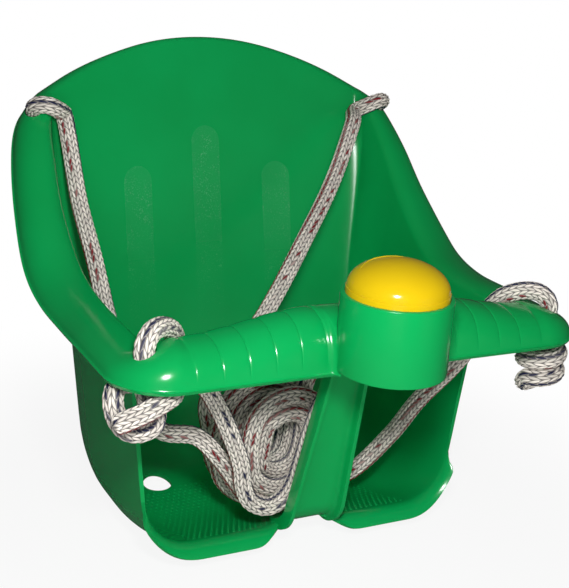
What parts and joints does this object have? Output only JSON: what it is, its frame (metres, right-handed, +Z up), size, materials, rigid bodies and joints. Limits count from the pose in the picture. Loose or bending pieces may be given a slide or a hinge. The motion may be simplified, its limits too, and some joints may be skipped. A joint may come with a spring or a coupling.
{
  "type": "toddler bucket swing",
  "caption": "Moulded bucket seat for a small child: high back, side walls, arm ring with fluted front bar, crotch post, squeeze horn with a push dome, and spare rope hung in the seat.",
  "frame": {"origin": "middle of the footprint of the seat without its ropes, on the surface that the seat stands on", "axes": "+Z up; -Y is the front, which the child faces; +X is the child's left; X = 0 is the seat's plane of symmetry"},
  "size_m": [0.3396, 0.347, 0.3214],
  "materials": {
    "green_moulding": "glossy moulded polypropylene",
    "yellow_dome": "glossy moulded cap",
    "grey_bellows": "soft matte elastomer",
    "white_reed": "matte moulded plastic",
    "green_plate": "satin moulded plastic",
    "zinc_screw": "zinc plated",
    "braided_rope": "braided synthetic rope, pale with dark red and navy flecks"
  },
  "bodies": {
    "seat": {"seat_shell": "green_moulding", "horn_base_plate": "green_plate", "plate_screw_1": "zinc_screw", "plate_screw_2": "zinc_screw", "plate_screw_3": "zinc_screw", "horn_reed": "white_reed", "horn_bellows": "grey_bellows", "rope_hank_left": "braided_rope", "rope_front_left": "braided_rope", "rope_rear_left": "braided_rope", "rope_hank_right": "braided_rope", "rope_front_right": "braided_rope", "rope_rear_right": "braided_rope"},
    "horn": {"horn_dome": "yellow_dome"}
  },
  "joints": [
    {"name": "horn_press", "type": "slide", "parent": "seat", "child": "horn", "axis": [0, 0, 1], "range_m": [-0.006, 0], "stiffness_N_per_m": 500, "springref_m": 0.004, "deforming": ["horn_bellows"]}
  ]
}
